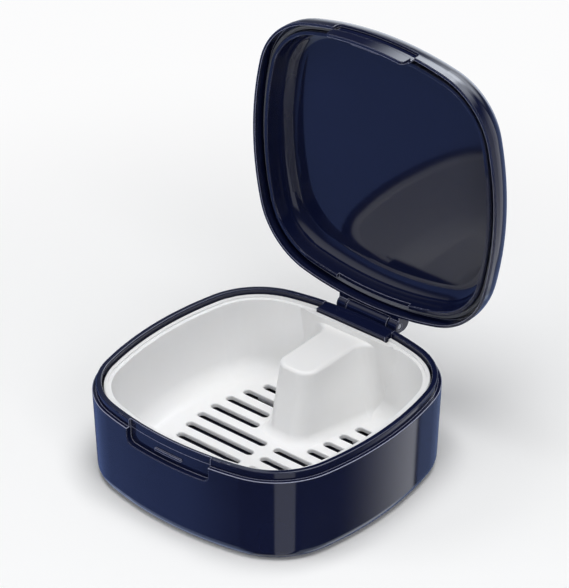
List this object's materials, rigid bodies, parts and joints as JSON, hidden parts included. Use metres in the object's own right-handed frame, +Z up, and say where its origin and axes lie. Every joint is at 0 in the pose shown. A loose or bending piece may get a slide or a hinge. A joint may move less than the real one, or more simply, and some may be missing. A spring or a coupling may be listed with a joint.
{
  "type": "denture case",
  "caption": "Rounded square soaking case with a hinged snap-shut lid, a silicone seal and a lift-out strainer basket with a central divider tower.",
  "frame": {"origin": "centre of the flat underside of the base", "axes": "+Z up, +Y towards the hinge, +X to the right seen from the latch side"},
  "size_m": [0.094, 0.1069, 0.1249],
  "materials": {
    "case_plastic": "polished",
    "hinge_plastic": "polished",
    "latch_plastic": "polished",
    "pin_steel": "brushed",
    "seal_silicone": "satin",
    "basket_plastic": "satin"
  },
  "bodies": {
    "base": {"base_shell": "case_plastic", "hinge_block": "hinge_plastic", "hinge_pin": "pin_steel"},
    "lid": {"lid_shell": "case_plastic", "seal_ring": "seal_silicone"},
    "latch": {"latch_tongue": "latch_plastic"},
    "basket": {"strainer_basket": "basket_plastic"}
  },
  "joints": [
    {"name": "lid_hinge", "type": "hinge", "parent": "base", "child": "lid", "pos_m": [0, 0.0492, 0.0293], "axis": [-1, 0, 0], "range_deg": [-90, 0]},
    {"name": "latch_flex", "type": "hinge", "parent": "lid", "child": "latch", "pos_m": [0, 0.05242, 0.12358], "axis": [-1, 0, 0], "range_deg": [0, 8], "stiffness_Nm_per_rad": 0.05},
    {"name": "basket_lift", "type": "slide", "parent": "base", "child": "basket", "axis": [0, 0, 1], "range_m": [0, 0.05]}
  ]
}
